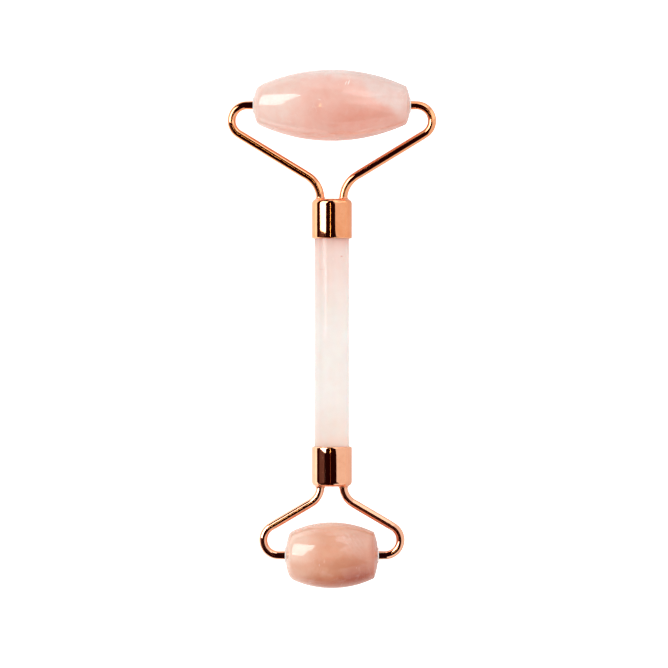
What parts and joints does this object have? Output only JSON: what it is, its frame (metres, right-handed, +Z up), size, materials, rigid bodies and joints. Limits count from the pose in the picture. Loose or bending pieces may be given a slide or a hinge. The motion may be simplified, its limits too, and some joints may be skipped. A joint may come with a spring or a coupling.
{
  "type": "facial massage roller",
  "caption": "Double-ended facial massage roller: polished stone rod handle with a barrel-shaped stone roller turning in a bent wire yoke at each end.",
  "frame": {"origin": "middle of the handle's visible length, on its axis", "axes": "+X along the roller axles, +Y along the handle towards the large roller, +Z up with the tool lying flat on its two rollers"},
  "size_m": [0.0584, 0.1448, 0.0198],
  "materials": {
    "handle_quartz": "polished",
    "large_quartz": "polished",
    "small_quartz": "polished",
    "rose_gold": "polished",
    "plated_solder": "polished",
    "nylon": "satin",
    "epoxy": "gloss"
  },
  "bodies": {
    "handle": {"handle_rod": "handle_quartz", "large_ferrule": "rose_gold", "large_yoke_left_arm": "rose_gold", "large_yoke_right_arm": "rose_gold", "large_yoke_solder": "plated_solder", "large_ferrule_adhesive": "epoxy", "small_ferrule": "rose_gold", "small_yoke_left_arm": "rose_gold", "small_yoke_right_arm": "rose_gold", "small_yoke_solder": "plated_solder", "small_ferrule_adhesive": "epoxy"},
    "large_roller": {"large_roller_stone": "large_quartz", "large_left_bushing": "nylon", "large_right_bushing": "nylon"},
    "small_roller": {"small_roller_stone": "small_quartz", "small_left_bushing": "nylon", "small_right_bushing": "nylon"}
  },
  "joints": [
    {"name": "large_roller_spin", "type": "hinge", "parent": "handle", "child": "large_roller", "pos_m": [0, 0.0663, 0], "axis": [1, 0, 0], "continuous": true},
    {"name": "small_roller_spin", "type": "hinge", "parent": "handle", "child": "small_roller", "pos_m": [0, -0.0594, 0], "axis": [1, 0, 0], "continuous": true}
  ]
}
